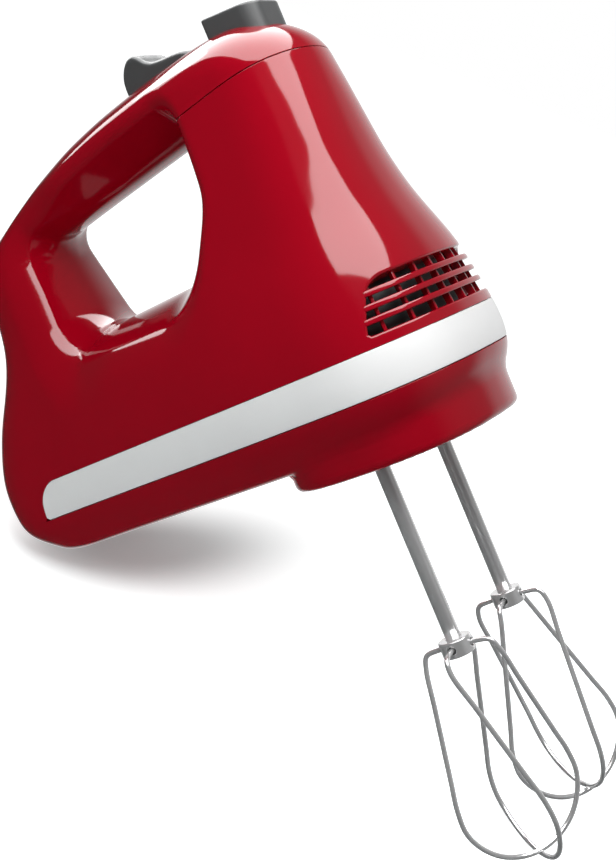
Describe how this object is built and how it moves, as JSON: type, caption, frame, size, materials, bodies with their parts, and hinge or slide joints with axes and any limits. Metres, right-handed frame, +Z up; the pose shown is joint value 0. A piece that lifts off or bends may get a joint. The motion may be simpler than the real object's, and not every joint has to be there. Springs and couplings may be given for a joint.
{
  "type": "hand mixer",
  "caption": "Corded hand mixer: looped handle, thumb speed slider, press-down ejector, vented nose and a worm drive turning twin wire beaters in opposite senses.",
  "frame": {"origin": "midway between the two drive spindles, on the flat face under the gear case", "axes": "+X out of the nose, +Z up through the handle, beaters hang towards -Z, +Y to the left of someone holding it"},
  "size_m": [0.2036, 0.089, 0.2954],
  "materials": {
    "red_shell": "high gloss",
    "trim": "satin",
    "control": "satin",
    "inner_black": "moulded",
    "nylon": "moulded",
    "board": "moulded",
    "shaft_steel": "ground",
    "beater_steel": "polished",
    "laminations": "plain",
    "copper": "varnished",
    "bronze": "plain"
  },
  "bodies": {
    "housing": {"main_housing": "red_shell", "top_cover": "red_shell", "lower_base": "red_shell", "vent_grille": "red_shell", "trim_band": "trim", "ejector_guide": "inner_black", "ejector_spring": "shaft_steel", "speed_switch": "board", "stator_core": "laminations", "field_coil_upper": "copper", "field_coil_lower": "copper", "front_bearing": "bronze", "middle_bearing": "bronze", "rear_bearing": "bronze", "brush_holder_left": "bronze", "brush_holder_right": "bronze", "rear_bracket": "inner_black", "gear_frame": "nylon", "spindle_bush_left": "bronze", "spindle_bush_right": "bronze"},
    "rotor": {"motor_shaft": "shaft_steel", "cooling_fan": "inner_black", "armature_core": "laminations", "armature_winding_front": "copper", "armature_winding_rear": "copper", "commutator": "copper"},
    "left_spindle": {"worm_wheel_left": "nylon", "spindle_left": "shaft_steel"},
    "right_spindle": {"worm_wheel_right": "nylon", "spindle_right": "shaft_steel"},
    "left_beater": {"beater_shaft_left": "beater_steel", "beater_collar_left": "beater_steel", "beater_loop_a_left": "beater_steel", "beater_loop_b_left": "beater_steel"},
    "right_beater": {"beater_shaft_right": "beater_steel", "beater_collar_right": "beater_steel", "beater_loop_a_right": "beater_steel", "beater_loop_b_right": "beater_steel"},
    "ejector": {"ejector_button": "control", "ejector_yoke": "nylon"},
    "speed_control": {"speed_slider": "control", "slider_link": "inner_black"},
    "cord_inlet": {"cord_gland": "inner_black"}
  },
  "joints": [
    {"name": "motor_spin", "type": "hinge", "parent": "housing", "child": "rotor", "pos_m": [0, 0, 0.038], "axis": [1, 0, 0], "continuous": true},
    {"name": "left_spindle_spin", "type": "hinge", "parent": "housing", "child": "left_spindle", "pos_m": [0, 0.021, 0], "axis": [0, 0, 1], "continuous": true},
    {"name": "right_spindle_spin", "type": "hinge", "parent": "housing", "child": "right_spindle", "pos_m": [0, -0.021, 0], "axis": [0, 0, 1], "continuous": true},
    {"name": "ejector_press", "type": "slide", "parent": "housing", "child": "ejector", "axis": [0, 0, -1], "range_m": [0, 0.006], "stiffness_N_per_m": 800, "springref_m": -0.004, "deforming": ["ejector_spring"]},
    {"name": "left_beater_eject", "type": "slide", "parent": "left_spindle", "child": "left_beater", "axis": [0, 0, -1], "range_m": [0, 0.006]},
    {"name": "right_beater_eject", "type": "slide", "parent": "right_spindle", "child": "right_beater", "axis": [0, 0, -1], "range_m": [0, 0.006]},
    {"name": "speed_slide", "type": "slide", "parent": "housing", "child": "speed_control", "axis": [-1, 0, 0], "range_m": [0, 0.018]},
    {"name": "cord_swivel", "type": "hinge", "parent": "housing", "child": "cord_inlet", "pos_m": [-0.15, 0, 0.06], "axis": [1, 0, 0], "range_deg": [-90, 90]}
  ],
  "couplings": [
    {"joint": "left_spindle_spin", "follows": "motor_spin", "ratio": -0.033333},
    {"joint": "right_spindle_spin", "follows": "motor_spin", "ratio": 0.033333},
    {"joint": "left_beater_eject", "follows": "ejector_press", "ratio": 1},
    {"joint": "right_beater_eject", "follows": "ejector_press", "ratio": 1}
  ]
}
